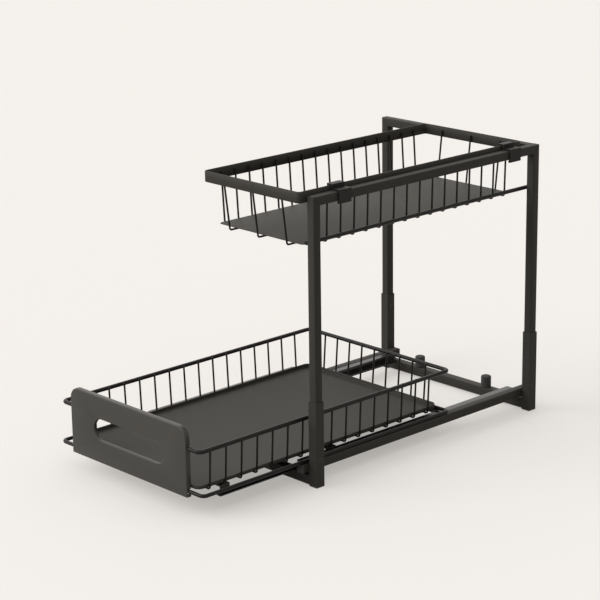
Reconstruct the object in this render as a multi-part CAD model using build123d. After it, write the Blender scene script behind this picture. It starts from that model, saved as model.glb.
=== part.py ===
from build123d import *
import os

# Pull-out cabinet basket: an open L-shaped tube frame, a wire drawer on ball slides and a wire basket
# that hangs on the right top rail. Millimetres, +X to the right, -Y the way the drawer pulls out, +Z up.
# Everything is placed from the middle of the frame's footprint and moved at the end, so that the origin
# is the bottom centre of the whole part. The drawer stands partly pulled out.

# Frame
frame_width = 260
frame_depth = 382
frame_height = 340
sleeve_size = 13
sleeve_wall = 1
sleeve_top = 102
plug_clearance = 0.1
tube_wall = 1
tube_corner = 1.2
post_insertion = 78
foot_height = 1.5
foot_stem = 12
foot_stub_top = 26.9
cross_bar_size = 12
cross_bar_bottom = 1.2
rail_bottom = 16.7
rail_front_overhang = 8.6
rail_back_inset = 1
cap_thickness = 1.8
cap_stem = 8
bearing_rod_radius = 2.5
bearing_rod_drop = 54
bar_hole_radius = 2.25
bar_hole_offset = 88
bumper_radius = 6.5
bumper_height = 14.8
bumper_stem_radius = 2.4
bumper_stem_length = 2
bumper_left_x = -64
bumper_right_x = 52
screw_head_radius = 2.5
screw_shank_radius = 1.45
screw_length = 5
screw_cross_width = 0.625
screw_cross_length = 3
screw_low_height = 33.5
screw_high_height = 86

# Ball slides
slide_wall = 1.2
slide_depth = 9
slide_height = 13
slide_bottom = 14
slide_lip = 1.4
slide_lip_wall = 1
slide_length = 364
inner_height = 5.4
inner_depth = 6.2
ball_clearance = 0.05
ball_seat = 4.7
ball_count = 4
ball_pitch = 25
cage_wall = 0.5
cage_gap = 0.5
cage_length = 100
cage_hole_clearance = 0.1
cage_rest_y = -69
slide_screw_count = 3
slide_screw_pitch = 160
slide_screw_head_radius = 2
slide_back_gap = 4

# Drawer
closed_travel = 122
stop_gap = 0.5
drawer_centre_x = -12
panel_front_y = -350
panel_wall = 1.2
panel_width = 206
panel_centre_x = -12
panel_bottom = 23.5
panel_top = 104
panel_flange = 6
panel_corner = 14
slot_width = 124
slot_height = 26
slot_centre_x = -10
slot_centre_z = 63.5
slot_lip = 3.5
ring_notch_clearance = 0.4
top_ring_radius = 2.5
top_ring_half_width = 122
top_ring_height = 80
top_ring_back_y = 50
ring_corner = 6
bottom_ring_radius = 2.25
bottom_ring_half_width = 126
ring_rail_clearance = 0.25
weld_gap = 0.05
wire_radius = 1.15
wire_bend = 3
wire_rail_clearance = 0.35
wire_side_lean = 2.5
wire_back_lean = 4
wire_top_overlap = 1
cross_wire_count = 16
cross_wire_pitch = 23.2
cross_wire_first_y = -328
long_wire_count = 9
long_wire_pitch = 22
tray_wall = 1
tray_side_clearance = 0.65
tray_back_clearance = 1.2
tray_front_gap = 5.8
tray_side_rise = 4.8
tray_back_rise = 5.8
tray_corner = 9
tray_bend = 2
side_bar_wall = 2
side_bar_length = 246
side_bar_centre_y = -98
side_bar_end_flat = 0.2
strap_wall = 2
strap_width = 14
strap_tab_wall = 1.5
strap_tab_drop = 8
strap_clearance = 0.3
strap_wall_end_gap = 1
strap_front_y = -300
strap_middle_y = -135
rivet_radius = 1.5
rivet_head_radius = 2.6
rivet_head_height = 0.8

# Upper basket
rim_wall = 2
rim_height = 13
rim_drop = 7.8
rim_width = 159.8
rim_length = 371
rim_back_y = 171
rim_corner = 5
rod_side_gap = 0.3
basket_wire_depth = 63.85
basket_side_lean = 1.7
basket_left_lean = 4
basket_end_lean = 8
basket_wire_top_gap = 4.2
basket_cross_count = 16
basket_cross_pitch = 21.4
basket_long_count = 3
basket_long_pitch = 48
plate_wall = 1
plate_corner = 5
plate_clearance = 0.5
clip_length = 19
clip_spacing = 286
clip_corner_margin = 13.5
clip_wall = 2
clip_block = 2.6
clip_rail_clearance = 0.25
clip_flange_drop = 3
clip_nub = 0.9

# How far a cutting shape runs past the face it cuts
over = 1

# Places worked out from the sizes above
half_width = frame_width / 2
half_depth = frame_depth / 2
sleeve_x = half_width - sleeve_size / 2
sleeve_y = half_depth - sleeve_size / 2
sleeve_inner_x = half_width - sleeve_size
post_size = sleeve_size - 2 * sleeve_wall - 2 * plug_clearance
post_bottom = sleeve_top - post_insertion
post_inner_x = sleeve_x - post_size / 2
rail_inner_x = sleeve_inner_x - post_size
rail_top = rail_bottom + post_size
rail_front_y = -half_depth - rail_front_overhang
rail_back_y = half_depth - rail_back_inset
cross_bar_top = cross_bar_bottom + cross_bar_size
top_rail_bottom = frame_height - post_size
rod_x = post_inner_x - bearing_rod_radius
bearing_rod_height = frame_height - bearing_rod_drop

slide_top = slide_bottom + slide_height
slide_middle = slide_bottom + slide_height / 2
slide_face_x = rail_inner_x - slide_depth
inner_half = inner_height / 2
ball_radius = (slide_height / 2 - slide_wall - inner_half) / 2 - ball_clearance
ball_offset = inner_half + ball_clearance + ball_radius
ball_x = rail_inner_x - ball_seat
cage_x = slide_face_x + inner_depth + cage_gap
slide_outer_back_y = half_depth - sleeve_size - stop_gap - slide_back_gap
slide_outer_front_y = slide_outer_back_y - slide_length
slide_inner_front_y = slide_outer_front_y - closed_travel

panel_back_y = panel_front_y + panel_wall
top_ring_front_y = panel_back_y + top_ring_radius + weld_gap
bottom_ring_height = rail_top + ring_rail_clearance + bottom_ring_radius
bottom_ring_front_y = panel_back_y + bottom_ring_radius + weld_gap
long_wire_height = rail_top + wire_rail_clearance + wire_radius
cross_wire_height = long_wire_height + 2 * wire_radius
wire_inset = top_ring_radius + wire_radius + weld_gap
leg_top_half = top_ring_half_width - wire_inset
leg_bottom_half = leg_top_half - wire_side_lean
long_leg_top_y = top_ring_back_y - wire_inset
long_leg_bottom_y = long_leg_top_y - wire_back_lean
bottom_ring_back_y = long_leg_bottom_y + wire_radius + bottom_ring_radius + weld_gap
wire_top = top_ring_height + wire_top_overlap
tray_bottom = cross_wire_height + wire_radius + weld_gap
tray_half_width = leg_bottom_half - wire_radius - tray_side_clearance
tray_front_y = panel_back_y + tray_front_gap
tray_back_y = long_leg_bottom_y - wire_radius - tray_back_clearance
strap_top = rail_top + ring_rail_clearance - weld_gap
strap_back_y = half_depth - cross_bar_size / 2 - sleeve_wall / 2 - bumper_radius - closed_travel - stop_gap
strap_half = slide_face_x - strap_tab_wall
strap_end = slide_face_x - strap_clearance

rim_bottom = frame_height - rim_drop
rim_top = rim_bottom + rim_height
basket_wire_top = rim_top - basket_wire_top_gap
basket_wire_bottom = basket_wire_top - basket_wire_depth
wire_rod_x = rod_x - bearing_rod_radius - rod_side_gap - wire_radius
rod_share = (basket_wire_top - bearing_rod_height) / basket_wire_depth
basket_leg_top_right = wire_rod_x + basket_side_lean * rod_share
rim_right_x = basket_leg_top_right + wire_radius + weld_gap + rim_wall
rim_left_x = rim_right_x - rim_width
rim_front_y = rim_back_y - rim_length
rim_middle_x = (rim_right_x + rim_left_x) / 2
rim_middle_y = (rim_front_y + rim_back_y) / 2
clip_rear_y = rim_back_y - rim_corner - clip_corner_margin - clip_length / 2
clip_front_y = clip_rear_y - clip_spacing
basket_inset = rim_wall + weld_gap + wire_radius
basket_long_height = basket_wire_bottom + wire_radius
basket_cross_height = basket_long_height + 2 * wire_radius
plate_bottom = basket_cross_height + wire_radius + weld_gap


def block(x0, x1, y0, y1, z0, z1):
    """A box between two corners."""
    return Pos((x0 + x1) / 2, (y0 + y1) / 2, (z0 + z1) / 2) * Box(x1 - x0, y1 - y0, z1 - z0)


def rod(start, end, radius):
    """A round bar from one point to another."""
    start = Vector(*start)
    run = Vector(*end) - start
    return extrude(Plane(origin=start, z_dir=run) * Circle(radius), run.length)


def prism(points, reach):
    """A closed outline pushed along a vector."""
    run = Vector(*reach)
    face = make_face(Polyline(*points, close=True))
    return extrude(face, amount=run.length, dir=run.normalized())


def mirror_x(shape):
    return mirror(shape, about=Plane.YZ)


def square_tube(length, size):
    """A square tube that stands on the origin."""
    outline = RectangleRounded(size, size, tube_corner)
    bore = Rectangle(size - 2 * tube_wall, size - 2 * tube_wall)
    return extrude(outline - bore, length)


def tube_along_y(x, z, y0, y1, size):
    return Pos(x, y0, z) * Rot(-90, 0, 0) * square_tube(y1 - y0, size)


def tube_along_x(y, z, x0, x1, size):
    return Pos(x0, y, z) * Rot(0, 90, 0) * square_tube(x1 - x0, size)


def screw_hole(x, y, z, radius, depth):
    """A hole that runs from a +X face inwards."""
    return rod((x + over, y, z), (x - depth, y, z), radius)


def sleeve(x, y, screw_height):
    """The short square sleeve that a post plugs into, with the hole for its screw head."""
    height = sleeve_top - foot_height
    shape = extrude(RectangleRounded(sleeve_size, sleeve_size, tube_corner), height)
    bore = sleeve_size - 2 * sleeve_wall
    shape -= extrude(Rectangle(bore, bore), height)
    shape = Pos(x, y, foot_height) * shape
    head_clearance = screw_head_radius + plug_clearance
    return shape - screw_hole(x + sleeve_size / 2, y, screw_height, head_clearance, sleeve_size / 2)


def post(x, y, screw_height):
    shape = Pos(x, y, post_bottom) * square_tube(frame_height - post_bottom, post_size)
    shank_clearance = screw_shank_radius + plug_clearance
    return shape - screw_hole(x + post_size / 2, y, screw_height, shank_clearance, post_size / 2)


def sleeve_screw(x, y, screw_height):
    """A flat screw whose head sits in the sleeve's wall and whose shank goes through the post's."""
    seat = x + post_size / 2 + plug_clearance / 2
    head_top = x + sleeve_size / 2 - plug_clearance
    shape = rod((seat, y, screw_height), (head_top, y, screw_height), screw_head_radius)
    shape += rod((seat - screw_length, y, screw_height), (seat, y, screw_height), screw_shank_radius)
    half = screw_cross_width / 2
    reach = screw_cross_length / 2
    shape -= block(head_top - half, head_top, y - reach, y + reach, screw_height - half, screw_height + half)
    shape -= block(head_top - half, head_top, y - half, y + half, screw_height - reach, screw_height + reach)
    return shape


def foot_plug(x, y):
    """A plastic foot: a rounded pad under the tube and a stem inside it."""
    pad = extrude(RectangleRounded(sleeve_size, sleeve_size, tube_corner), foot_height)
    pad = fillet(pad.faces().sort_by(Axis.Z)[0].edges(), foot_height / 2)
    stem_size = sleeve_size - 2 * sleeve_wall - 2 * plug_clearance
    stem = Pos(0, 0, foot_height) * extrude(Rectangle(stem_size, stem_size), foot_stem)
    return Pos(x, y, 0) * (pad + stem)


def front_left_foot():
    """The low stub under the front end of the left rail, closed on top."""
    height = foot_stub_top - foot_height
    shape = extrude(RectangleRounded(sleeve_size, sleeve_size, tube_corner), height)
    shape = fillet(shape.faces().sort_by(Axis.Z)[-1].edges(), sleeve_wall / 2)
    bore = sleeve_size - 2 * sleeve_wall
    shape -= extrude(Rectangle(bore, bore), height - sleeve_wall)
    return Pos(-sleeve_x, -sleeve_y, foot_height) * shape


def corner_halves(outer_y):
    """The lower and the upper triangle of a mitre in the YZ plane at one end of the right rail."""
    sign = 1 if outer_y > 0 else -1
    inner_y = outer_y - sign * post_size
    x0 = post_inner_x - over
    outer = (x0, outer_y, frame_height)
    inner = (x0, inner_y, top_rail_bottom)
    reach = (post_size + 2 * over, 0, 0)
    upper = prism([outer, (x0, inner_y, frame_height), inner], reach)
    lower = prism([outer, (x0, outer_y, top_rail_bottom), inner], reach)
    return lower, upper


def left_corner_halves():
    """The same two triangles in the XZ plane, at the left end of the rear top bar."""
    outer_x = -sleeve_x - post_size / 2
    inner_x = outer_x + post_size
    y0 = sleeve_y - post_size / 2 - over
    outer = (outer_x, y0, frame_height)
    inner = (inner_x, y0, top_rail_bottom)
    reach = (0, post_size + 2 * over, 0)
    upper = prism([outer, (inner_x, y0, frame_height), inner], reach)
    lower = prism([outer, (outer_x, y0, top_rail_bottom), inner], reach)
    return lower, upper


def right_top_rail():
    end = sleeve_y + post_size / 2
    shape = tube_along_y(sleeve_x, frame_height - post_size / 2, -end, end, post_size)
    for outer_y in (-end, end):
        shape -= corner_halves(outer_y)[0]
    return shape


def rear_top_bar():
    start = -sleeve_x - post_size / 2
    shape = tube_along_x(sleeve_y, frame_height - post_size / 2, start, post_inner_x, post_size)
    return shape - left_corner_halves()[0]


def cross_bar(y, holes):
    """A square tube between two feet, with vertical holes."""
    middle = cross_bar_bottom + cross_bar_size / 2
    shape = tube_along_x(y, middle, -sleeve_inner_x, sleeve_inner_x, cross_bar_size)
    for x, radius, bottom in holes:
        shape -= rod((x, y, bottom), (x, y, cross_bar_top + over), radius)
    return shape


def bumper(x):
    """A rubber stop pushed into the rear cross bar."""
    shape = extrude(Circle(bumper_radius), bumper_height)
    shape = fillet(shape.faces().sort_by(Axis.Z)[-1].edges(), bumper_radius / 5)
    shape += Pos(0, 0, -bumper_stem_length) * extrude(Circle(bumper_stem_radius), bumper_stem_length)
    return Pos(x, sleeve_y, cross_bar_top) * shape


def rail_cap(x, y, outward):
    """A plastic cap on the end of a side rail: a rounded pad and a stem inside the tube."""
    pad = extrude(RectangleRounded(post_size, post_size, tube_corner), cap_thickness)
    pad = fillet(pad.faces().sort_by(Axis.Z)[-1].edges(), cap_thickness / 3)
    stem_size = post_size - 2 * tube_wall - 2 * plug_clearance
    stem = Pos(0, 0, -cap_stem) * extrude(Rectangle(stem_size, stem_size), cap_stem)
    return Pos(x, y, rail_bottom + post_size / 2) * Rot(-90 * outward, 0, 0) * (pad + stem)


def slide_outer():
    """The right fixed slide member: a C with lips, screwed to the inner face of the rail."""
    y0 = slide_outer_front_y
    y1 = slide_outer_back_y
    shape = block(slide_face_x, rail_inner_x, y0, y1, slide_bottom, slide_top)
    web_x = rail_inner_x - slide_wall
    low = slide_bottom + slide_wall
    high = slide_top - slide_wall
    shape -= block(slide_face_x + slide_lip_wall, web_x, y0, y1, low, high)
    mouth_low = low + slide_lip
    mouth_high = high - slide_lip
    shape -= block(slide_face_x, slide_face_x + slide_lip_wall, y0, y1, mouth_low, mouth_high)
    for y in slide_screw_rows():
        shape -= rod((web_x - over, y, slide_middle), (rail_inner_x, y, slide_middle),
                     slide_screw_head_radius + plug_clearance)
    return shape


def slide_screw_rows():
    middle = (slide_outer_front_y + slide_outer_back_y) / 2
    first = middle - slide_screw_pitch * (slide_screw_count - 1) / 2
    return [first + i * slide_screw_pitch for i in range(slide_screw_count)]


def slide_screws():
    """Flush screws that hold the fixed slide members to the rails."""
    screws = []
    web_x = rail_inner_x - slide_wall + plug_clearance
    for y in slide_screw_rows():
        screw = rod((web_x, y, slide_middle), (rail_inner_x, y, slide_middle), slide_screw_head_radius)
        screw += rod((rail_inner_x, y, slide_middle), (rail_inner_x + screw_length, y, slide_middle),
                     screw_shank_radius)
        screws.append(screw)
    return screws + [mirror_x(screw) for screw in screws]


def side_rail():
    """The right side rail, with the pilot holes for the slide's screws."""
    y0 = rail_front_y + cap_thickness
    y1 = rail_back_y - cap_thickness
    shape = tube_along_y(rail_inner_x + post_size / 2, rail_bottom + post_size / 2, y0, y1, post_size)
    for y in slide_screw_rows():
        hole_end = rail_inner_x + post_size / 2
        shape -= rod((rail_inner_x - over, y, slide_middle), (hole_end, y, slide_middle),
                     screw_shank_radius + plug_clearance)
    return shape


def slide_inner():
    """The right moving slide member: a smaller C that opens towards the rail."""
    y0 = slide_inner_front_y
    y1 = y0 + slide_length
    low = slide_middle - inner_half
    high = slide_middle + inner_half
    shape = block(slide_face_x, slide_face_x + inner_depth, y0, y1, low, high)
    shape -= block(slide_face_x + slide_wall, slide_face_x + inner_depth, y0, y1,
                   low + slide_wall, high - slide_wall)
    for y in strap_rows():
        shape -= rod((slide_face_x - over, y, slide_middle),
                     (slide_face_x + slide_wall + over, y, slide_middle), rivet_radius + weld_gap)
    return shape


def ball_rows():
    first = cage_rest_y - ball_pitch * (ball_count - 1) / 2
    return [first + i * ball_pitch for i in range(ball_count)]


def ball_cage():
    """The right ball cage: a thin channel with a hole round each ball."""
    y0 = cage_rest_y - cage_length / 2
    y1 = cage_rest_y + cage_length / 2
    high = slide_middle + ball_offset + cage_wall / 2
    low = slide_middle - ball_offset - cage_wall / 2
    front_x = ball_x - ball_radius - 2 * cage_wall
    shape = block(front_x, cage_x + cage_wall, y0, y1, low, high)
    shape -= block(front_x, cage_x, y0, y1, low + cage_wall, high - cage_wall)
    for y in ball_rows():
        shape -= rod((ball_x, y, low - over), (ball_x, y, high + over), ball_radius + cage_hole_clearance)
    return shape


def balls():
    shapes = []
    for y in ball_rows():
        for offset in (-ball_offset, ball_offset):
            shapes.append(Pos(ball_x, y, slide_middle + offset) * Sphere(ball_radius))
    return shapes


def drawer_front_panel():
    """A pressed sheet with rolled top and side flanges, an obround hand slot and notches for the rings."""
    height = panel_top - panel_bottom
    x0 = panel_centre_x - panel_width / 2
    x1 = panel_centre_x + panel_width / 2
    front = Plane(origin=(panel_centre_x, panel_front_y, panel_bottom), x_dir=(1, 0, 0), z_dir=(0, 1, 0))
    # The outline runs downwards in this plane, so the rounded corners lie at the far side of height.
    outline = Pos(0, -height / 2) * RectangleRounded(panel_width, height, panel_corner)
    outline += Pos(0, -height / 4) * Rectangle(panel_width, height / 2)
    shape = extrude(front * outline, panel_flange)
    inner_width = panel_width - 2 * panel_wall
    hollow_height = height - panel_wall
    hollow = Pos(0, -hollow_height / 2) * RectangleRounded(inner_width, hollow_height,
                                                           panel_corner - panel_wall)
    hollow += Pos(0, -hollow_height / 4) * Rectangle(inner_width, hollow_height / 2)
    back = Plane(origin=(panel_centre_x, panel_back_y, panel_bottom), x_dir=(1, 0, 0), z_dir=(0, 1, 0))
    shape -= extrude(back * hollow, panel_flange)
    slot_plane = Plane(origin=(slot_centre_x, panel_front_y, slot_centre_z), x_dir=(1, 0, 0), z_dir=(0, 1, 0))
    lip = SlotOverall(slot_width + 2 * panel_wall, slot_height + 2 * panel_wall)
    shape += extrude(slot_plane * lip, slot_lip)
    shape -= extrude(slot_plane * SlotOverall(slot_width, slot_height), slot_lip)
    # Above the slot the lip stops short of the ring that runs behind it.
    ring_low = top_ring_height - top_ring_radius - ring_notch_clearance
    shape -= block(x0 + panel_wall, x1 - panel_wall, panel_back_y, panel_front_y + slot_lip,
                   ring_low, panel_top - panel_wall - panel_corner)
    for ring_z, radius in ((top_ring_height, top_ring_radius), (bottom_ring_height, bottom_ring_radius)):
        gap = radius + ring_notch_clearance
        shape -= block(x0 - over, x0 + panel_wall, panel_back_y, panel_front_y + panel_flange,
                       ring_z - gap, ring_z + gap)
        shape -= block(x1 - panel_wall, x1 + over, panel_back_y, panel_front_y + panel_flange,
                       ring_z - gap, ring_z + gap)
    return shape


def wire_ring(half_span, y0, y1, z, radius):
    """A closed ring of round wire with rounded corners."""
    plane = Plane(origin=(drawer_centre_x, (y0 + y1) / 2, z))
    path = (plane * RectangleRounded(2 * half_span, y1 - y0, ring_corner)).wire()
    start = path @ 0
    section = Plane(origin=start, z_dir=path % 0) * Circle(radius)
    return sweep(section, path=path)


def bent_wire(points, bend, radius):
    """A round wire along straight runs with rounded corners."""
    path = FilletPolyline(*points, radius=bend)
    section = Plane(origin=path @ 0, z_dir=path % 0) * Circle(radius)
    return sweep(section, path=path)


def drawer_cross_wires():
    """Wires that go down one side, under the tray and up the other side."""
    wires = []
    for i in range(cross_wire_count):
        y = cross_wire_first_y + i * cross_wire_pitch
        points = [(drawer_centre_x - leg_top_half, y, wire_top),
                  (drawer_centre_x - leg_bottom_half, y, cross_wire_height),
                  (drawer_centre_x + leg_bottom_half, y, cross_wire_height),
                  (drawer_centre_x + leg_top_half, y, wire_top)]
        wires.append(bent_wire(points, wire_bend, wire_radius))
    return wires


def drawer_long_wires():
    """Wires that go down the rear wall and forward under the tray to the bottom ring."""
    wires = []
    first = drawer_centre_x - long_wire_pitch * (long_wire_count - 1) / 2
    front = bottom_ring_front_y + bottom_ring_radius + weld_gap
    for i in range(long_wire_count):
        x = first + i * long_wire_pitch
        points = [(x, long_leg_top_y, wire_top),
                  (x, long_leg_bottom_y, long_wire_height),
                  (x, front, long_wire_height)]
        wires.append(bent_wire(points, wire_bend, wire_radius))
    return wires


def drawer_tray():
    """A thin pressed tray with a low wall all round and a higher one at the rear."""
    depth = tray_back_y - tray_front_y
    middle = Pos(drawer_centre_x, (tray_front_y + tray_back_y) / 2, tray_bottom)
    outline = RectangleRounded(2 * tray_half_width, depth, tray_corner)
    shape = extrude(outline, tray_back_rise)
    shape = fillet(shape.faces().sort_by(Axis.Z)[0].edges(), tray_bend)
    hollow_outline = RectangleRounded(2 * (tray_half_width - tray_wall), depth - 2 * tray_wall,
                                      tray_corner - tray_wall)
    hollow = Pos(0, 0, tray_wall) * extrude(hollow_outline, tray_back_rise)
    hollow = fillet(hollow.faces().sort_by(Axis.Z)[0].edges(), tray_bend - tray_wall)
    shape -= hollow
    low_end = depth / 2 - tray_corner - tray_back_rise
    shape -= block(-tray_half_width - over, tray_half_width + over, -depth / 2 - over, low_end,
                   tray_side_rise, tray_back_rise + over)
    return middle * shape


def drawer_side_bar():
    """A flat bar with round ends on the left run of the bottom ring, just outside the wires."""
    outer_x = drawer_centre_x - bottom_ring_half_width
    bottom = bottom_ring_height + bottom_ring_radius + weld_gap
    lean = wire_side_lean * (bottom + side_bar_wall - cross_wire_height) / (wire_top - cross_wire_height)
    inner_x = drawer_centre_x - leg_bottom_half - lean - wire_radius - ring_notch_clearance / 2
    width = inner_x - outer_x
    outline = RectangleRounded(width, side_bar_length, (width - side_bar_end_flat) / 2)
    return Pos((outer_x + inner_x) / 2, side_bar_centre_y, bottom) * extrude(outline, side_bar_wall)


def strap_rows():
    return [strap_front_y, strap_middle_y, strap_back_y - strap_width / 2]


def drawer_strap(y):
    """A flat strap under the wires, with its ends turned down onto the moving slide members."""
    y0 = y - strap_width / 2
    y1 = y + strap_width / 2
    shape = block(-slide_face_x, slide_face_x, y0, y1, strap_top - strap_wall, strap_top)
    tab_bottom = slide_middle - inner_half
    for x0, x1 in ((-slide_face_x, -strap_half), (strap_half, slide_face_x)):
        shape += block(x0, x1, y0, y1, tab_bottom, strap_top - strap_wall)
    # Above the moving member the ends step back, to run clear of the fixed member's lips.
    seat_top = slide_middle + inner_half
    for x0, x1 in ((-slide_face_x, -strap_end), (strap_end, slide_face_x)):
        shape -= block(x0, x1, y0, y1, seat_top, strap_top)
    for sign in (-1, 1):
        shape -= rod((sign * (strap_half - over), y, slide_middle),
                     (sign * (slide_face_x + over), y, slide_middle), rivet_radius + weld_gap)
    return shape


def drawer_strap_rear():
    """The rear strap, which also has a down-turned wall that meets the rubber stops."""
    y = strap_rows()[-1]
    shape = drawer_strap(y)
    inner = strap_half - rivet_head_height - strap_wall_end_gap
    wall = block(-inner, inner, strap_back_y - strap_wall, strap_back_y,
                 strap_top - strap_wall - strap_tab_drop, strap_top - strap_wall)
    return shape + wall


def strap_rivets():
    """Rivets through the straps' tabs and the moving slide members."""
    rivets = []
    for y in strap_rows():
        inner = strap_half - weld_gap
        outer = slide_face_x + slide_wall + weld_gap
        rivet = rod((inner, y, slide_middle), (outer, y, slide_middle), rivet_radius)
        rivet += rod((inner - rivet_head_height, y, slide_middle), (inner, y, slide_middle),
                     rivet_head_radius)
        closed_head = min(rivet_head_radius, inner_half - slide_wall - weld_gap)
        rivet += rod((outer, y, slide_middle), (outer + rivet_head_height, y, slide_middle), closed_head)
        rivets.append(rivet)
    return rivets + [mirror_x(rivet) for rivet in rivets]


def basket_rim():
    """The flat band round the top of the basket."""
    outline = RectangleRounded(rim_width, rim_length, rim_corner)
    bore = RectangleRounded(rim_width - 2 * rim_wall, rim_length - 2 * rim_wall, rim_corner - rim_wall)
    return Pos(rim_middle_x, rim_middle_y, rim_bottom) * extrude(outline - bore, rim_height)


def basket_sides():
    """Where the side legs of the basket's cross wires stand: left top, left bottom, right bottom."""
    left_top = rim_left_x + basket_inset
    left_bottom = left_top + basket_left_lean
    right_bottom = basket_leg_top_right - basket_side_lean
    return left_top, left_bottom, right_bottom


def basket_cross_wires():
    """Wires from the left of the rim, under the plate and up the right side, along the bearing rod."""
    left_top, left_bottom, right_bottom = basket_sides()
    first = rim_middle_y - basket_cross_pitch * (basket_cross_count - 1) / 2
    wires = []
    for i in range(basket_cross_count):
        y = first + i * basket_cross_pitch
        points = [(left_top, y, basket_wire_top),
                  (left_bottom, y, basket_cross_height),
                  (right_bottom, y, basket_cross_height),
                  (basket_leg_top_right, y, basket_wire_top)]
        wires.append(bent_wire(points, wire_bend, wire_radius))
    return wires


def basket_long_wires():
    """Wires from the front of the rim, under the plate and up the rear."""
    first = rim_middle_x - basket_long_pitch * (basket_long_count - 1) / 2
    front = rim_front_y + basket_inset
    back = rim_back_y - basket_inset
    wires = []
    for i in range(basket_long_count):
        x = first + i * basket_long_pitch
        points = [(x, front, basket_wire_top),
                  (x, front + basket_end_lean, basket_long_height),
                  (x, back - basket_end_lean, basket_long_height),
                  (x, back, basket_wire_top)]
        wires.append(bent_wire(points, wire_bend, wire_radius))
    return wires


def basket_plate():
    """The flat bottom plate that lies on the cross wires."""
    left_bottom, right_bottom = basket_sides()[1:]
    x0 = left_bottom + wire_bend
    x1 = right_bottom - wire_bend
    edge = basket_inset + basket_end_lean + wire_radius + plate_clearance
    y0 = rim_front_y + edge
    y1 = rim_back_y - edge
    outline = RectangleRounded(x1 - x0, y1 - y0, plate_corner)
    return Pos((x0 + x1) / 2, (y0 + y1) / 2, plate_bottom) * extrude(outline, plate_wall)


def saddle_clip(y):
    """A bent saddle that grips the rim's top edge and hooks over the right top rail."""
    rim_inner = rim_right_x - rim_wall
    rail_left = post_inner_x
    rail_right = sleeve_x + post_size / 2
    block_left = rim_inner - weld_gap - clip_block
    block_bottom = basket_wire_top + clip_rail_clearance
    bridge_bottom = rim_top + weld_gap
    bridge_top = bridge_bottom + clip_wall
    step_bottom = frame_height + clip_rail_clearance
    step_top = step_bottom + clip_wall
    step_x = rail_left + clip_rail_clearance
    flange_x = rail_right + clip_rail_clearance
    flange_bottom = top_rail_bottom - clip_flange_drop
    nub_top = top_rail_bottom - clip_rail_clearance
    nub_x = rail_right - clip_nub
    outline = [(block_left, block_bottom), (rim_inner - weld_gap, block_bottom),
               (rim_inner - weld_gap, bridge_bottom), (step_x - clip_rail_clearance, bridge_bottom),
               (step_x - clip_rail_clearance, step_bottom), (flange_x, step_bottom),
               (flange_x, nub_top), (nub_x, nub_top), (nub_x, flange_bottom),
               (flange_x + clip_wall, flange_bottom), (flange_x + clip_wall, step_top),
               (step_x + clip_wall, step_top), (step_x + clip_wall, bridge_top), (block_left, bridge_top)]
    y0 = y - clip_length / 2
    shape = prism([(x, y0, z) for x, z in outline], (0, clip_length, 0))
    outer_edges = shape.edges().filter_by(Axis.Y).sort_by(Axis.X)
    return fillet([outer_edges[-1], outer_edges[-2]], clip_wall / 4)


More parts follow.
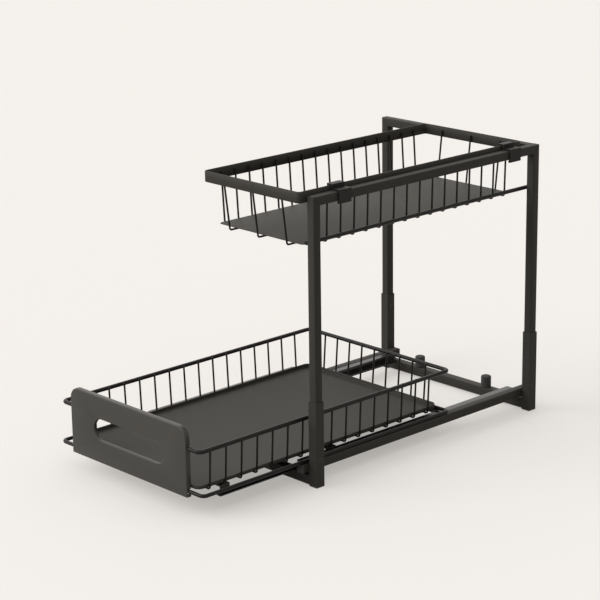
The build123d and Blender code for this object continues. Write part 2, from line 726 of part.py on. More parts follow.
def collect():
    """Every sub-part by the name of its node."""
    nodes = {}
    nodes["sleeve_front_right"] = sleeve(sleeve_x, -sleeve_y, screw_low_height)
    nodes["sleeve_rear_right"] = sleeve(sleeve_x, sleeve_y, screw_low_height)
    nodes["sleeve_rear_left"] = sleeve(-sleeve_x, sleeve_y, screw_high_height)
    nodes["front_left_foot"] = front_left_foot()
    corners = {"front_right": (1, -1), "rear_right": (1, 1), "rear_left": (-1, 1), "front_left": (-1, -1)}
    for name, (side, end) in corners.items():
        nodes["foot_plug_" + name] = foot_plug(side * sleeve_x, end * sleeve_y)
    nodes["sleeve_screws"] = [sleeve_screw(sleeve_x, -sleeve_y, screw_low_height),
                              sleeve_screw(sleeve_x, sleeve_y, screw_low_height),
                              sleeve_screw(-sleeve_x, sleeve_y, screw_high_height)]
    end = sleeve_y + post_size / 2
    nodes["front_right_post"] = post(sleeve_x, -sleeve_y, screw_low_height) - corner_halves(-end)[1]
    nodes["rear_right_post"] = post(sleeve_x, sleeve_y, screw_low_height) - corner_halves(end)[1]
    nodes["rear_left_post"] = post(-sleeve_x, sleeve_y, screw_high_height) - left_corner_halves()[1]
    nodes["right_top_rail"] = right_top_rail()
    nodes["rear_top_bar"] = rear_top_bar()
    nodes["basket_bearing_rod"] = rod((rod_x, -end, bearing_rod_height), (rod_x, end, bearing_rod_height),
                                      bearing_rod_radius)
    bar_y = sleeve_y
    screw_holes = [(side * bar_hole_offset, bar_hole_radius, 0) for side in (-1, 1)]
    stem_holes = [(x, bumper_stem_radius + plug_clearance, cross_bar_top - bumper_stem_length)
                  for x in (bumper_left_x, bumper_right_x)]
    nodes["front_cross_bar"] = cross_bar(-bar_y, screw_holes)
    nodes["rear_cross_bar"] = cross_bar(bar_y, stem_holes)
    nodes["bumper_left"] = bumper(bumper_left_x)
    nodes["bumper_right"] = bumper(bumper_right_x)
    nodes["side_rail_right"] = side_rail()
    nodes["side_rail_left"] = mirror_x(side_rail())
    rail_x = rail_inner_x + post_size / 2
    for name, x in (("left", -rail_x), ("right", rail_x)):
        nodes["rail_cap_front_" + name] = rail_cap(x, rail_front_y + cap_thickness, -1)
        nodes["rail_cap_rear_" + name] = rail_cap(x, rail_back_y - cap_thickness, 1)
    nodes["slide_outer_right"] = slide_outer()
    nodes["slide_outer_left"] = mirror_x(slide_outer())
    nodes["slide_screws"] = slide_screws()

    nodes["ball_cage_right"] = ball_cage()
    nodes["ball_cage_left"] = mirror_x(ball_cage())
    nodes["balls_right"] = balls()
    nodes["balls_left"] = [mirror_x(ball) for ball in balls()]

    nodes["slide_inner_right"] = slide_inner()
    nodes["slide_inner_left"] = mirror_x(slide_inner())
    nodes["drawer_front_panel"] = drawer_front_panel()
    nodes["drawer_top_ring"] = wire_ring(top_ring_half_width, top_ring_front_y, top_ring_back_y,
                                         top_ring_height, top_ring_radius)
    nodes["drawer_bottom_ring"] = wire_ring(bottom_ring_half_width, bottom_ring_front_y,
                                            bottom_ring_back_y, bottom_ring_height, bottom_ring_radius)
    nodes["drawer_cross_wires"] = drawer_cross_wires()
    nodes["drawer_long_wires"] = drawer_long_wires()
    nodes["drawer_tray"] = drawer_tray()
    nodes["drawer_side_bar"] = drawer_side_bar()
    nodes["drawer_strap_front"] = drawer_strap(strap_front_y)
    nodes["drawer_strap_middle"] = drawer_strap(strap_middle_y)
    nodes["drawer_strap_rear"] = drawer_strap_rear()
    nodes["strap_rivets"] = strap_rivets()

    nodes["basket_rim"] = basket_rim()
    nodes["basket_cross_wires"] = basket_cross_wires()
    nodes["basket_long_wires"] = basket_long_wires()
    nodes["basket_plate"] = basket_plate()
    nodes["saddle_clip_front"] = saddle_clip(clip_front_y)
    nodes["saddle_clip_rear"] = saddle_clip(clip_rear_y)
    return nodes


def solids_of(shape):
    shapes = shape if isinstance(shape, list) else [shape]
    return [solid for one in shapes for solid in one.solids()]


nodes = {name: solids_of(shape) for name, shape in collect().items()}
box = Compound([solid for solids in nodes.values() for solid in solids]).bounding_box()
to_origin = Pos(-(box.min.X + box.max.X) / 2, -(box.min.Y + box.max.Y) / 2, -box.min.Z)
print("moved by", to_origin.position)

os.makedirs("parts", exist_ok=True)
for name, solids in nodes.items():
    moved = [to_origin * solid for solid in solids]
    export_step(moved[0] if len(moved) == 1 else Compound(moved), "parts/" + name + ".step")
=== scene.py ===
import bpy
import bmesh
import math
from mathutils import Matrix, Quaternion, Vector, noise


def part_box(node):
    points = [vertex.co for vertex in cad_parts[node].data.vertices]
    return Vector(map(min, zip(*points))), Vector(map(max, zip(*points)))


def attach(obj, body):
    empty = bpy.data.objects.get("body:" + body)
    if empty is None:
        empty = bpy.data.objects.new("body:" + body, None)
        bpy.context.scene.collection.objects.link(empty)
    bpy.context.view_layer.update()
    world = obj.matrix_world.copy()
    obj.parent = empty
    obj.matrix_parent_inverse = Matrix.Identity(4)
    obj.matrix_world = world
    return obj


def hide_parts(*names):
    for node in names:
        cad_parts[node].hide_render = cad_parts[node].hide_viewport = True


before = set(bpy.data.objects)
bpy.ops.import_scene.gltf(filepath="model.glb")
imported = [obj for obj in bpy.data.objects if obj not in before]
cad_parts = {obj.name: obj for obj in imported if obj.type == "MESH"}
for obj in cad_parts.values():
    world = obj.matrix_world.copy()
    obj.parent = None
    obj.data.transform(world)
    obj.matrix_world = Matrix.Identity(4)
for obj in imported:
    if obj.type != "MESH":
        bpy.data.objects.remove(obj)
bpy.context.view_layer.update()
mm = 0.001
mergeReach = 0.002 * mm  # mesh points nearer than this are joined
print("frame loaded:", len(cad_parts), "nodes")


class Value:
    # one output socket; arithmetic on it adds the Math nodes
    def __init__(self, shader, socket):
        self.shader = shader
        self.socket = socket

    def maths(self, operation, other, swapped=False):
        pair = (other, self) if swapped else (self, other)
        return self.shader.add("ShaderNodeMath", {"operation": operation}, dict(enumerate(pair)))

    def __add__(self, other):
        return self.maths("ADD", other)

    def __radd__(self, other):
        return self.maths("ADD", other, True)

    def __sub__(self, other):
        return self.maths("SUBTRACT", other)

    def __rsub__(self, other):
        return self.maths("SUBTRACT", other, True)

    def __mul__(self, other):
        return self.maths("MULTIPLY", other)

    def __rmul__(self, other):
        return self.maths("MULTIPLY", other, True)


class Shader:
    # the node tree of a material or of the world, under construction
    def __init__(self, owner, surface):
        owner.use_nodes = True
        self.owner = owner
        self.tree = owner.node_tree
        self.surface = self.tree.nodes[surface]

    def add(self, kind, settings, inputs, output=0):
        node = self.tree.nodes.new(kind)
        for key, setting in settings.items():
            if key == "stops":
                for element, (spot, colour) in zip(node.color_ramp.elements, setting):
                    element.position = spot
                    element.color = colour
            else:
                setattr(node, key, setting)
        for key, value in inputs.items():
            self.put(node.inputs[key], value)
        return Value(self, node.outputs[output])

    def put(self, socket, value):
        if isinstance(value, Value):
            self.tree.links.new(value.socket, socket)
        else:
            socket.default_value = value

    def noise(self, scale, detail=2.0, roughness=0.5):
        inputs = {"Vector": self.place, "Scale": scale, "Detail": detail, "Roughness": roughness}
        return self.add("ShaderNodeTexNoise", {}, inputs)

    def ramp(self, value, low, high):
        stops = [(low, (0, 0, 0, 1)), (high, (1, 1, 1, 1))]
        return self.add("ShaderNodeValToRGB", {"stops": stops}, {"Fac": value})

    def mixColour(self, factor, first, second):
        settings = {"data_type": "RGBA"}
        return self.add("ShaderNodeMix", settings, {0: factor, 6: first, 7: second}, 2)

    def bump(self, height, look):
        inputs = {"Height": height, "Strength": look["relief"], "Distance": look["reliefDepth"]}
        return self.add("ShaderNodeBump", {}, inputs)

    def seenRay(self):
        # 1 for a ray straight from the camera, off a gloss or through something clear
        rays = ("Is Camera Ray", "Is Glossy Ray", "Is Transmission Ray")
        camera, glossy, through = (self.add("ShaderNodeLightPath", {}, {}, ray) for ray in rays)
        return camera.maths("MAXIMUM", glossy).maths("MAXIMUM", through)

    def finish(self, **sockets):
        for key, value in sockets.items():
            self.put(self.surface.inputs[key.replace("_", " ")], value)
        return self.owner


def startMaterial(name):
    shader = Shader(bpy.data.materials.new(name), "Principled BSDF")
    shader.place = shader.add("ShaderNodeTexCoord", {}, {}, "Object")
    return shader


def rgba(red, green, blue):
    return (red, green, blue, 1.0)


powder = {"tint": (1.0, 0.93, 0.80), "spread": 0.16, "paintedHighlight": 2.1, "cloud": 9, "grain": 1500, "peel": 420,
          "dust": 60, "dustFrom": 0.55, "dustTo": 0.8, "dustShare": 0.12, "highlightFrom": 0.53, "highlightTo": 0.59,
          "highlightUneven": 0.05, "highlightShare": 0.4, "grainRough": 0.16, "cloudRough": 0.1, "cloudShare": 0.7,
          "peelShare": 0.7, "relief": 0.22, "reliefDepth": 0.2 * mm}


def powderCoat(name, tone, roughness, specular):
    # matte powder coat: fine grain over a soft orange peel, a little dust, and a painted highlight that makes
    # the sharp edges paler
    shader = startMaterial(name)
    cloud = shader.noise(powder["cloud"], 3.0, 0.6)
    grain = shader.noise(powder["grain"], 2.0, 0.6)
    peel = shader.noise(powder["peel"], 3.0, 0.55)
    dust = shader.ramp(shader.noise(powder["dust"], 5.0, 0.65), powder["dustFrom"], powder["dustTo"])
    # the pale colour serves both the dust and the painted edge highlight
    shade, light, dustAndPaintedHighlight = (rgba(*[tone * share * c for c in powder["tint"]])
                          for share in (1 - powder["spread"], 1 + powder["spread"], powder["paintedHighlight"]))
    base = shader.mixColour(cloud * powder["cloudShare"] + grain * (1 - powder["cloudShare"]), shade, light)
    base = shader.mixColour(dust * powder["dustShare"], base, dustAndPaintedHighlight)
    # painted highlight: convex edges, picked out by pointiness, are mixed toward the pale colour in place of
    # light caught on the edges
    edge = shader.add("ShaderNodeNewGeometry", {}, {}, "Pointiness")
    paintedHighlight = shader.ramp(edge + (peel - 0.5) * powder["highlightUneven"], powder["highlightFrom"], powder["highlightTo"])
    base = shader.mixColour(paintedHighlight * powder["highlightShare"], base, dustAndPaintedHighlight)
    rough = roughness + (grain - 0.5) * powder["grainRough"] + (cloud - 0.5) * powder["cloudRough"]
    normal = shader.bump(peel * powder["peelShare"] + grain * (1 - powder["peelShare"]), powder)
    return shader.finish(Base_Color=base, Roughness=rough, Normal=normal, Specular_IOR_Level=specular)


plasticLook = {"dark": rgba(0.010, 0.010, 0.009), "pale": rgba(0.018, 0.017, 0.016), "texture": 1800,
               "cloud": 40, "rough": 0.55, "roughSpread": 0.2, "relief": 0.25, "reliefDepth": 0.15 * mm}


def mouldedPlastic():
    # feet and rail caps: fine spark-eroded texture
    shader = startMaterial("mouldedPlastic")
    texture = shader.noise(plasticLook["texture"], 2.0, 0.7)
    cloud = shader.noise(plasticLook["cloud"], 2.0, 0.5)
    base = shader.mixColour(cloud, plasticLook["dark"], plasticLook["pale"])
    rough = plasticLook["rough"] + (texture - 0.5) * plasticLook["roughSpread"]
    return shader.finish(Base_Color=base, Roughness=rough, Normal=shader.bump(texture, plasticLook))


rubberLook = {"dark": rgba(0.012, 0.0115, 0.011), "pale": rgba(0.034, 0.033, 0.030), "bloom": 220,
              "bloomFrom": 0.45, "bloomTo": 0.75, "bloomShare": 0.6, "fine": 2400, "rough": 0.78,
              "roughSpread": 0.15, "relief": 0.3, "reliefDepth": 0.1 * mm}


def stopRubber():
    # bumpers: dull rubber with a dusty bloom
    shader = startMaterial("stopRubber")
    spots = shader.noise(rubberLook["bloom"], 4.0, 0.7)
    bloom = shader.ramp(spots, rubberLook["bloomFrom"], rubberLook["bloomTo"])
    fine = shader.noise(rubberLook["fine"], 2.0, 0.6)
    base = shader.mixColour(bloom * rubberLook["bloomShare"], rubberLook["dark"], rubberLook["pale"])
    rough = rubberLook["rough"] + (fine - 0.5) * rubberLook["roughSpread"]
    return shader.finish(Base_Color=base, Roughness=rough, Normal=shader.bump(fine, rubberLook))


zincLook = {"dark": rgba(0.010, 0.010, 0.010), "pale": rgba(0.030, 0.030, 0.029), "stretch": (900, 14, 900),
            "cloud": 70, "streakShare": 0.6, "rough": 0.34, "roughSpread": 0.2, "metal": 0.5,
            "relief": 0.1, "reliefDepth": 0.1 * mm}


def blackZinc():
    # slides: rolled steel under thin black zinc, drawn along its length
    shader = startMaterial("blackZinc")
    stretched = shader.add("ShaderNodeMapping", {}, {"Vector": shader.place, "Scale": zincLook["stretch"]})
    streak = shader.add("ShaderNodeTexNoise", {}, {"Vector": stretched, "Scale": 1.0, "Detail": 3.0})
    cloud = shader.noise(zincLook["cloud"], 3.0, 0.6)
    mottle = streak * zincLook["streakShare"] + cloud * (1 - zincLook["streakShare"])
    base = shader.mixColour(mottle, zincLook["dark"], zincLook["pale"])
    rough = zincLook["rough"] + (streak - 0.5) * zincLook["roughSpread"]
    normal = shader.bump(streak, zincLook)
    return shader.finish(Base_Color=base, Roughness=rough, Metallic=zincLook["metal"], Normal=normal)


steelLook = {"dark": rgba(0.42, 0.42, 0.41), "pale": rgba(0.62, 0.62, 0.6), "smear": 700,
             "rough": 0.16, "roughSpread": 0.12}


def ballSteel():
    shader = startMaterial("ballSteel")
    smear = shader.noise(steelLook["smear"], 3.0, 0.6)
    base = shader.mixColour(smear, steelLook["dark"], steelLook["pale"])
    rough = steelLook["rough"] + smear * steelLook["roughSpread"]
    return shader.finish(Base_Color=base, Roughness=rough, Metallic=1.0)


oxideLook = {"dark": rgba(0.018, 0.018, 0.018), "pale": rgba(0.14, 0.135, 0.13), "rub": 900, "rubFrom": 0.5,
             "rubTo": 0.72, "rubShare": 0.5, "rough": 0.42, "polish": 0.12, "metal": 0.6,
             "relief": 0.15, "reliefDepth": 0.1 * mm}


def blackOxide():
    # screws and rivets: black oxide with brighter rubbed patches
    shader = startMaterial("blackOxide")
    rub = shader.ramp(shader.noise(oxideLook["rub"], 4.0, 0.65), oxideLook["rubFrom"], oxideLook["rubTo"])
    base = shader.mixColour(rub * oxideLook["rubShare"], oxideLook["dark"], oxideLook["pale"])
    rough = oxideLook["rough"] - rub * oxideLook["polish"]
    normal = shader.bump(rub, oxideLook)
    return shader.finish(Base_Color=base, Roughness=rough, Metallic=oxideLook["metal"], Normal=normal)


coatTube = powderCoat("coatTube", tone=0.025, roughness=0.55, specular=0.10)
coatSheet = powderCoat("coatSheet", tone=0.036, roughness=0.38, specular=0.24)
coatTray = powderCoat("coatTray", tone=0.042, roughness=0.55, specular=0.08)
coatBand = powderCoat("coatBand", tone=0.030, roughness=0.50, specular=0.08)
coatWire = powderCoat("coatWire", tone=0.006, roughness=0.34, specular=0.14)
coatClip = powderCoat("coatClip", tone=0.010, roughness=0.46, specular=0.12)
plastic = mouldedPlastic()
rubber = stopRubber()
zinc = blackZinc()
bearing = ballSteel()
oxide = blackOxide()
print("finishes ready")


meshing = {"leastCorner": 0.4 * mm, "tubeEnd": 0.25, "bevelSteps": 2, "bevelOver": 40}


def corners(node):
    # a CAD node's lowest and highest corners at rest
    low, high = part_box(node)
    return Vector(low), Vector(high)


def arcPoints(x, y, radius, start, turn, steps):
    # points along an arc, both its ends among them
    angles = [start + turn * k / steps for k in range(steps + 1)]
    return [(x + radius * math.cos(angle), y + radius * math.sin(angle)) for angle in angles]


def quarterBend(radius, steps):
    # inset and depth along a rolled edge, from the flat face round to the wall
    angles = [math.pi / 2 * k / steps for k in range(steps + 1)]
    return [(radius * (1 - math.sin(angle)), radius * (1 - math.cos(angle))) for angle in angles]


def roundedRectangle(x0, x1, y0, y1, corner, steps):
    left, right = x0 + corner, x1 - corner
    front, back = y0 + corner, y1 - corner
    points = []
    for quarter, (x, y) in enumerate(((right, back), (left, back), (left, front), (right, front))):
        points += arcPoints(x, y, corner, math.pi / 2 * quarter, math.pi / 2, steps)
    return points


def loopOutline(low, high, inset, corner, steps=8):
    # a rounded rectangle, inset from the box's sides
    radius = max(corner - inset, meshing["leastCorner"])
    return roundedRectangle(low.x + inset, high.x - inset, low.y + inset, high.y - inset, radius, steps)


def loftFaces(rings, count, closed=False):
    # quads between neighbouring rings of points; an open loft gets its two ends
    faces = []
    for i in range(rings if closed else rings - 1):
        a, b = i * count, (i + 1) % rings * count
        for k in range(count):
            n = (k + 1) % count
            faces.append((a + k, a + n, b + n, b + k))
    if not closed:
        faces.append(tuple(reversed(range(count))))
        faces.append(tuple(range((rings - 1) * count, rings * count)))
    return faces


def makePiece(name, verts, faces, material, body, stands=(), smoothUnder=38, edge=0.0):
    mesh = bpy.data.meshes.new(name)
    mesh.from_pydata([tuple(v) for v in verts], [], faces)
    adopt(name, mesh, material, body, stands, smoothUnder, edge)


def adopt(name, mesh, material, body, stands=(), smoothUnder=38, edge=0.0, wall=0.0):
    # turns a mesh into a piece on its body, with an optional wall thickness and a small edge round
    piece = bpy.data.objects.new(name, mesh)
    bpy.context.scene.collection.objects.link(piece)
    if wall:
        solid = piece.modifiers.new("wall", "SOLIDIFY")
        solid.thickness = wall
        solid.offset = -1
        solid.use_even_offset = True
    if edge:
        bevel = piece.modifiers.new("edge", "BEVEL")
        bevel.width = edge
        bevel.segments = meshing["bevelSteps"]
        bevel.limit_method = "ANGLE"
        bevel.angle_limit = math.radians(meshing["bevelOver"])
    if wall or edge:
        evaluated = piece.evaluated_get(bpy.context.evaluated_depsgraph_get())
        mesh = bpy.data.meshes.new_from_object(evaluated)
        mesh.name = name
        piece.modifiers.clear()
        piece.data = mesh
    tidyNormals(mesh)
    mesh.shade_smooth()
    mesh.set_sharp_from_angle(angle=math.radians(smoothUnder))
    mesh.materials.clear()
    mesh.materials.append(material)
    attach(piece, body)
    if stands:
        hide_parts(*stands)


def tidyNormals(mesh):
    shape = bmesh.new()
    shape.from_mesh(mesh)
    bmesh.ops.remove_doubles(shape, verts=shape.verts, dist=mergeReach)
    bmesh.ops.recalc_face_normals(shape, faces=shape.faces)
    shape.to_mesh(mesh)
    shape.free()


def meshOf(shape, name):
    mesh = bpy.data.meshes.new(name)
    shape.to_mesh(mesh)
    shape.free()
    return mesh


def flatPiece(name, node, outline, material, body, edge):
    # a flat sheet with the node's thickness
    low, high = corners(node)
    verts = [(x, y, z) for z in (low.z, high.z) for x, y in outline]
    makePiece(name, verts, loftFaces(2, len(outline)), material, body, (node,), edge=edge)


def roundPath(points, bend, steps=6, closed=False):
    # a polyline with its corners rounded to the bend radius
    points = [Vector(p) for p in points]
    count = len(points)
    out = []
    for i, point in enumerate(points):
        if not closed and i in (0, count - 1):
            out.append(point)
            continue
        before = (points[i - 1] - point).normalized()
        after = (points[(i + 1) % count] - point).normalized()
        turn = before.angle(after)
        reach = bend / math.tan(turn / 2)
        centre = point + (before + after).normalized() * (bend / math.sin(turn / 2))
        first = (point + before * reach - centre).normalized()
        last = (point + after * reach - centre).normalized()
        out += [centre + first.slerp(last, k / steps) * bend for k in range(steps + 1)]
    return out


def tubeParts(path, radius, closed=False, sides=12, swell=None):
    # rings of points carried along the path without twist, with softly rounded ends
    count = len(path)
    tangents = []
    for i in range(count):
        ahead = path[(i + 1) % count] if closed or i < count - 1 else path[i]
        behind = path[i - 1] if closed or i > 0 else path[i]
        tangents.append((ahead - behind).normalized())
    side = tangents[0].orthogonal().normalized()
    rings = []
    for i, (point, tangent) in enumerate(zip(path, tangents)):
        side = (side - tangent * side.dot(tangent)).normalized()
        size = radius * (swell(i) if swell else 1.0)
        rings.append((point, side, tangent.cross(side), size))
    if not closed:
        soft = radius * meshing["tubeEnd"]
        for end, inward in ((0, tangents[0]), (-1, -tangents[-1])):
            point, side, up, size = rings[end]
            rings[end] = (point + inward * soft, side, up, size)
            rings.insert(0 if end == 0 else len(rings), (point, side, up, size - soft))
    verts = []
    for point, side, up, size in rings:
        verts += [point + side * x + up * y for x, y in arcPoints(0, 0, size, 0, 2 * math.pi, sides)[:-1]]
    return verts, loftFaces(len(rings), sides, closed)


def joinParts(parts):
    verts, faces = [], []
    for partVerts, partFaces in parts:
        start = len(verts)
        verts += partVerts
        faces += [tuple(start + i for i in face) for face in partFaces]
    return verts, faces


nuggetLook = {"uneven": 0.16, "grain": 1.7, "seedStep": Vector((3.1, 1.7, 1.0)), "sides": 8, "rows": 5}
beadLook = {"leastRings": 6, "ringStep": 0.55, "mean": 0.86, "wave": 0.16, "wavePitch": 2.2, "wander": 0.08,
            "wanderPitch": 0.7, "wanderRow": 0.3, "sides": 8}


def blob(centre, reach, seed):
    # a small uneven weld nugget
    sides, rows = nuggetLook["sides"], nuggetLook["rows"]
    verts, faces = [], []
    for row in range(rows + 1):
        tilt = math.pi * row / rows
        for x, y in arcPoints(0, 0, math.sin(tilt), 0, 2 * math.pi, sides)[:-1]:
            out = Vector((x, y, math.cos(tilt)))
            roughness = noise.noise(out * nuggetLook["grain"] + nuggetLook["seedStep"] * seed)
            uneven = 1 + nuggetLook["uneven"] * roughness
            verts.append(Vector(centre) + out * Vector(reach) * uneven)
    for row in range(rows):
        for k in range(sides):
            n = (k + 1) % sides
            a, b = row * sides, (row + 1) * sides
            faces.append((a + k, b + k, b + n, a + n))
    return verts, faces


def bead(start, end, radius, seed=0):
    # a weld bead with its row of ripples
    start, end = Vector(start), Vector(end)
    length = (end - start).length
    count = max(beadLook["leastRings"], int(length / (radius * beadLook["ringStep"])))
    path = [start.lerp(end, i / count) for i in range(count + 1)]

    def ripple(i):
        wave = beadLook["wave"] * math.sin(i * beadLook["wavePitch"] + seed)
        spot = Vector((i * beadLook["wanderPitch"], seed, beadLook["wanderRow"]))
        return beadLook["mean"] + wave + beadLook["wander"] * noise.noise(spot)

    return tubeParts(path, radius, sides=beadLook["sides"], swell=ripple)


tubes = {"corner": 1.3 * mm, "leastCorner": 0.2 * mm, "cornerSteps": 4, "endRound": 0.3 * mm,
         "buttRound": 0.05 * mm, "rodSides": 20}
welds = {"radius": 0.8 * mm, "endGap": 1.0 * mm, "barSink": 0.4, "topSink": 0.3, "cornerThin": 0.7,
         "rodThin": 0.9, "rodReach": 0.6 * mm, "rodSink": 0.2, "rodEnd": 1.5 * mm, "rodSeed": 1000,
         "railThin": 0.8, "railSeed": 700, "sideSeed": 90}


def squareTube(name, node, axis, soft=tubes["endRound"], mitres=()):
    # a rounded square tube that fills a node's box along one axis
    low, high = corners(node)
    across = [i for i in range(3) if i != axis]
    size = min(high[i] - low[i] for i in across)
    middle = (low + high) / 2
    stations = ((low[axis], soft), (low[axis] + soft, 0.0), (high[axis] - soft, 0.0), (high[axis], soft))
    rings = []
    for along, shrink in stations:
        half = size / 2 - shrink
        corner = max(tubes["corner"] - shrink, tubes["leastCorner"])
        ring = []
        for spot in roundedRectangle(-half, half, -half, half, corner, tubes["cornerSteps"]):
            point = [along, along, along]
            for i, offset in zip(across, spot):
                point[i] = middle[i] + offset
            ring.append(point)
        rings.append(ring)
    # a mitre gives its end, the axis that it slopes along and the face where the tube is longest
    for end, lean, outer in mitres:
        chosen = rings[:2] if end == "low" else rings[-2:]
        direction = 1 if end == "low" else -1
        for ring in chosen:
            for point in ring:
                point[axis] += direction * abs(point[lean] - outer)
    verts = [point for ring in rings for point in ring]
    makePiece(name, verts, loftFaces(len(rings), len(rings[0])), coatTube, "frame", (node,))


def buildFrame():
    low, high = corners("right_top_rail")
    left = corners("rear_top_bar")[0].x
    squareTube("frontRightPost", "front_right_post", 2, mitres=[("high", 1, low.y)])
    squareTube("rearRightPost", "rear_right_post", 2, mitres=[("high", 1, high.y)])
    squareTube("rearLeftPost", "rear_left_post", 2, mitres=[("high", 0, left)])
    squareTube("rightTopRail", "right_top_rail", 1, mitres=[("low", 2, high.z), ("high", 2, high.z)])
    squareTube("rearTopBar", "rear_top_bar", 0, mitres=[("low", 2, high.z)])
    squareTube("rearCrossBar", "rear_cross_bar", 0, tubes["buttRound"])
    squareTube("leftSideRail", "side_rail_left", 1)
    squareTube("rightSideRail", "side_rail_right", 1)
    buildRod()
    buildFrameWelds()


def buildRod():
    low, high = corners("basket_bearing_rod")
    middle = (low + high) / 2
    path = [Vector((middle.x, y, middle.z)) for y in (low.y, high.y)]
    verts, faces = tubeParts(path, (high.x - low.x) / 2, sides=tubes["rodSides"])
    makePiece("bearingRod", verts, faces, coatWire, "frame", ("basket_bearing_rod",))


def barWelds(bar, firstSeed):
    # beads round both ends of a cross bar, on its front, back and top
    radius, gap = welds["radius"], welds["endGap"]
    low, high = corners(bar)
    parts = []
    for x, inward in ((low.x, 1), (high.x, -1)):
        x += inward * radius * welds["barSink"]
        for y in (low.y + radius / 2, high.y - radius / 2):
            parts.append(bead((x, y, low.z + gap), (x, y, high.z - gap), radius, firstSeed + len(parts)))
        start, end = (x, low.y + gap, high.z), (x, high.y - gap, high.z)
        parts.append(bead(start, end, radius, firstSeed + len(parts)))
    return parts


def buildFrameWelds():
    # beads where bars butt against sleeves and where the rod lies on the posts
    radius, gap = welds["radius"], welds["endGap"]
    parts = barWelds("front_cross_bar", 0)
    parts += barWelds("rear_cross_bar", len(parts))
    seed = len(parts)
    low, high = corners("rear_top_bar")
    x = high.x - radius * welds["topSink"]
    parts.append(bead((x, low.y + gap, low.z), (x, high.y - gap, low.z), radius, seed))
    thin = radius * welds["cornerThin"]
    parts.append(bead((x, low.y, low.z + gap), (x, low.y, high.z - gap), thin, seed + 1))
    rodLow, rodHigh = corners("basket_bearing_rod")
    for post in ("front_right_post", "rear_right_post"):
        low, high = corners(post)
        x = low.x - radius * welds["rodSink"]
        for z in (rodLow.z + welds["rodReach"], rodHigh.z - welds["rodReach"]):
            start, end = (x, low.y + welds["rodEnd"], z), (x, high.y - welds["rodEnd"], z)
            parts.append(bead(start, end, radius * welds["rodThin"], z * welds["rodSeed"]))
    for side, sleeves in (("right", ("front_right", "rear_right")), ("left", ("rear_left",))):
        railLow, railHigh = corners("side_rail_" + side)
        x = railHigh.x if side == "right" else railLow.x
        for spot in sleeves:
            low, high = corners("sleeve_" + spot)
            inner = min(high.y, railHigh.y) - gap
            for z in (railLow.z, railHigh.z):
                seed = z * welds["railSeed"] + x * welds["sideSeed"]
                parts.append(bead((x, low.y + gap, z), (x, inner, z), radius * welds["railThin"], seed))
    verts, faces = joinParts(parts)
    makePiece("frameWelds", verts, faces, coatTube, "frame", smoothUnder=70)


def dressHardware():
    # nodes that keep their own shape get their finish in their slots
    finishes = {"slide_screws": oxide, "sleeve_screws": oxide, "strap_rivets": oxide,
                "front_left_foot": coatTube, "front_cross_bar": coatTube}
    for side in ("left", "right"):
        finishes["balls_" + side] = bearing
        for member in ("slide_outer_", "slide_inner_", "ball_cage_"):
            finishes[member + side] = zinc
        for end in ("front", "rear"):
            finishes["foot_plug_" + end + "_" + side] = plastic
            finishes["rail_cap_" + end + "_" + side] = plastic
    for spot in ("front", "middle", "rear"):
        finishes["drawer_strap_" + spot] = coatSheet
    for spot in ("front_right", "rear_right", "rear_left"):
        finishes["sleeve_" + spot] = coatTube
    for end in ("front", "rear"):
        finishes["saddle_clip_" + end] = coatClip
    for node, finish in finishes.items():
        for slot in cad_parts[node].material_slots:
            slot.material = finish


stop = {"seatInset": 0.4 * mm, "seatRise": 0.5 * mm, "round": 0.28, "roundSteps": 6, "dishRim": 0.35,
        "dishFoot": 0.28, "dishDepth": 0.5 * mm, "centreDepth": 0.6 * mm, "centre": 0.1 * mm, "sides": 40}


def buildBumpers():
    bar = corners("rear_cross_bar")[1].z
    for side in ("left", "right"):
        low, high = corners("bumper_" + side)
        middle = (low + high) / 2
        radius, top = (high.x - low.x) / 2, high.z
        soft = radius * stop["round"]
        profile = [(radius - stop["seatInset"], bar), (radius, bar + stop["seatRise"])]
        profile += arcPoints(radius - soft, top - soft, soft, 0, math.pi / 2, stop["roundSteps"])
        profile += [(radius * stop["dishRim"], top), (radius * stop["dishFoot"], top - stop["dishDepth"]),
                    (stop["centre"], top - stop["centreDepth"])]
        verts = []
        for reach, z in profile:
            ring = arcPoints(middle.x, middle.y, reach, 0, 2 * math.pi, stop["sides"])[:-1]
            verts += [(x, y, z) for x, y in ring]
        faces = loftFaces(len(profile), stop["sides"])
        makePiece("stop_" + side, verts, faces, rubber, "frame", ("bumper_" + side,))


buildFrame()
buildBumpers()
dressHardware()
print("frame built")


panel = {"wall": 1.2 * mm, "bend": 1.5 * mm, "bendSteps": 6, "corner": 14 * mm, "cornerSteps": 14,
         "slotWidth": 124 * mm, "slotHeight": 26 * mm, "slotShift": 2 * mm, "slotRise": 40 * mm,
         "slotSteps": 12, "lip": 3.5 * mm, "lipBend": 1.3 * mm, "lipSteps": 5, "lipShort": 1.6 * mm,
         "notch": 0.4 * mm, "sideBreak": 50 * mm, "edge": 0.25 * mm}


def panelOutline(low, high, inset, breaks):
    # from the bottom left, up, over the rounded top and down to the bottom right
    radius, steps = panel["corner"] - inset, panel["cornerSteps"]
    left, right, top = low.x + inset, high.x - inset, high.z - inset
    points = [(left, z) for z in breaks]
    points += arcPoints(left + radius, top - radius, radius, math.pi, -math.pi / 2, steps)
    points += arcPoints(right - radius, top - radius, radius, math.pi / 2, -math.pi / 2, steps)
    return points + [(right, z) for z in reversed(breaks)]


def slotOutline(x, z, grow):
    half = panel["slotWidth"] / 2 - panel["slotHeight"] / 2
    radius, steps = panel["slotHeight"] / 2 + grow, panel["slotSteps"]
    right = arcPoints(x + half, z, radius, math.pi / 2, -math.pi, steps)
    return right + arcPoints(x - half, z, radius, -math.pi / 2, -math.pi, steps)


def ringGap(node):
    # the heights between which a flange is notched for a ring
    low, high = corners(node)
    return low.z - panel["notch"], high.z + panel["notch"]


